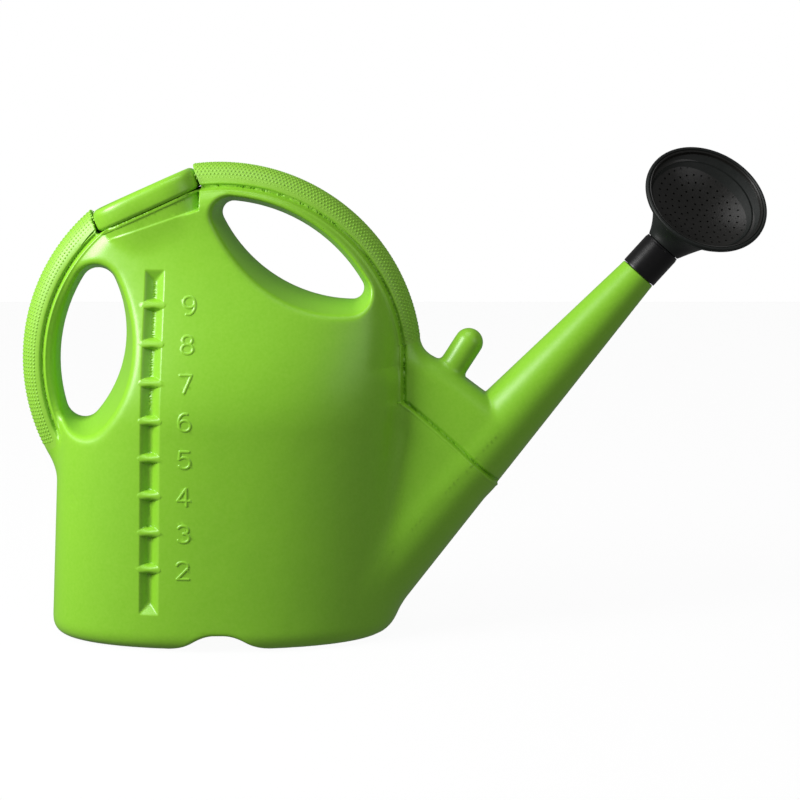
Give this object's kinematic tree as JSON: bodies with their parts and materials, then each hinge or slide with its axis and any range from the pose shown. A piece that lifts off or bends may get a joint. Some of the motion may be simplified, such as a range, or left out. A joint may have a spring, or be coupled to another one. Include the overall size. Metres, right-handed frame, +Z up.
{
  "type": "watering can",
  "caption": "Green ten litre watering can with a ring handle, oval tank, slanting conical spout, parking peg and a black tilted rose that turns and pulls off.",
  "frame": {"origin": "on the ground under the middle of the whole object's box", "axes": "+X along the spout, +Z up, the middle plane of the mould is y = 0; the litre scale is on the -Y side"},
  "size_m": [0.5908, 0.15, 0.3879],
  "materials": {
    "tank": "satin moulded polyethylene",
    "spout": "satin moulded polyethylene",
    "collar": "satin moulded polyethylene",
    "grip": "satin, with raised dots",
    "rose_sleeve": "glossy black",
    "rose": "fine matt black"
  },
  "bodies": {
    "can": {"tank": "tank", "spout": "spout", "front_grip": "grip", "rear_grip": "grip", "filler_collar": "collar"},
    "rose_neck": {"rose_sleeve": "rose_sleeve"},
    "rose": {"rose_bell": "rose", "rose_face": "rose"}
  },
  "joints": [
    {"name": "rose_pull_off", "type": "slide", "parent": "can", "child": "rose_neck", "axis": [0.6665, 0, 0.7455], "range_m": [0, 0.03]},
    {"name": "rose_turn", "type": "hinge", "parent": "rose_neck", "child": "rose", "pos_m": [0.19377, 0, 0.2902], "axis": [0.6665, 0, 0.7455], "continuous": true}
  ]
}
